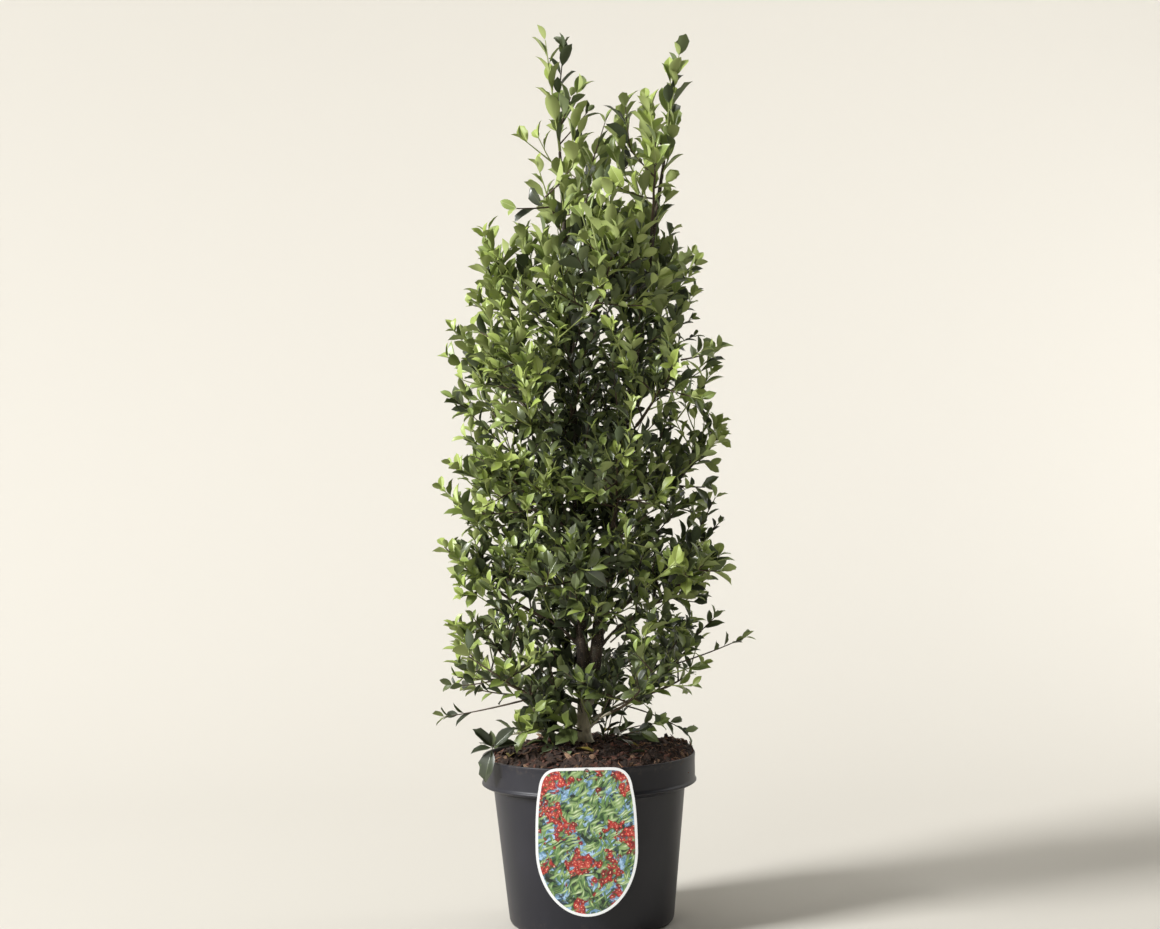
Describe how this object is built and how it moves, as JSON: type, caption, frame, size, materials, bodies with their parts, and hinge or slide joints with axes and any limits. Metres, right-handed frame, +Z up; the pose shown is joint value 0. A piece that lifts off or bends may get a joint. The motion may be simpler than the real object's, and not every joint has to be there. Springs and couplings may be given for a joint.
{
  "type": "potted holly tree",
  "caption": "Young broad-leaved holly grown as a slim evergreen column, in a round black nursery pot with compost and a hang-on picture tag.",
  "frame": {"origin": "centre of the pot's flat underside, which stands on the ground", "axes": "+Z up along the pot's axis, -Y is the front, where the tag hangs, +X is the plant's right"},
  "size_m": [0.4221, 0.4138, 1.1733],
  "materials": {
    "pot_plastic": "moulded black polypropylene, satin",
    "compost": "moist barky compost, rough",
    "label_plastic": "thin printed plastic tag, satin",
    "bark": "smooth grey-brown bark",
    "leaf_mature": "leathery dark green leaf, glossy above",
    "leaf_young": "leathery light green leaf, glossy above"
  },
  "bodies": {
    "root": {"pot": "pot_plastic", "compost": "compost", "label": "label_plastic", "trunk": "bark", "right_leader": "bark", "bough_skirt_front_right": "bark", "bough_skirt_right": "bark", "bough_skirt_back": "bark", "bough_skirt_back_left": "bark", "bough_skirt_front_left": "bark", "bough_low_front_right": "bark", "bough_low_back_right": "bark", "bough_low_back_left": "bark", "bough_low_left": "bark", "bough_low_front": "bark", "bough_middle_front": "bark", "bough_middle_right": "bark", "bough_middle_back": "bark", "bough_middle_back_left": "bark", "bough_middle_front_left": "bark", "bough_upper_front_right": "bark", "bough_upper_back_right": "bark", "bough_upper_back_left": "bark", "bough_upper_front_left": "bark", "bough_high_front": "bark", "bough_high_back_right": "bark", "bough_high_left": "bark", "bough_top_front_right": "bark", "bough_top_back": "bark", "bough_top_front_left": "bark", "bough_droop": "bark", "foliage_skirt_front_right": "leaf_mature", "foliage_skirt_right": "leaf_mature", "foliage_skirt_back": "leaf_mature", "foliage_skirt_back_left": "leaf_mature", "foliage_skirt_front_left": "leaf_mature", "foliage_low_front_right": "leaf_mature", "foliage_low_back_right": "leaf_mature", "foliage_low_back_left": "leaf_mature", "foliage_low_left": "leaf_mature", "foliage_low_front": "leaf_mature", "foliage_middle_front": "leaf_mature", "foliage_middle_right": "leaf_mature", "foliage_middle_back": "leaf_mature", "foliage_middle_back_left": "leaf_mature", "foliage_middle_front_left": "leaf_mature", "foliage_upper_front_right": "leaf_mature", "foliage_upper_back_right": "leaf_mature", "foliage_upper_back_left": "leaf_mature", "foliage_upper_front_left": "leaf_mature", "foliage_high_front": "leaf_young", "foliage_high_back_right": "leaf_young", "foliage_high_left": "leaf_young", "foliage_top_front_right": "leaf_young", "foliage_top_back": "leaf_young", "foliage_top_front_left": "leaf_young", "foliage_droop": "leaf_mature", "foliage_left_tip": "leaf_young", "foliage_right_tip": "leaf_young"}
  },
  "joints": []
}
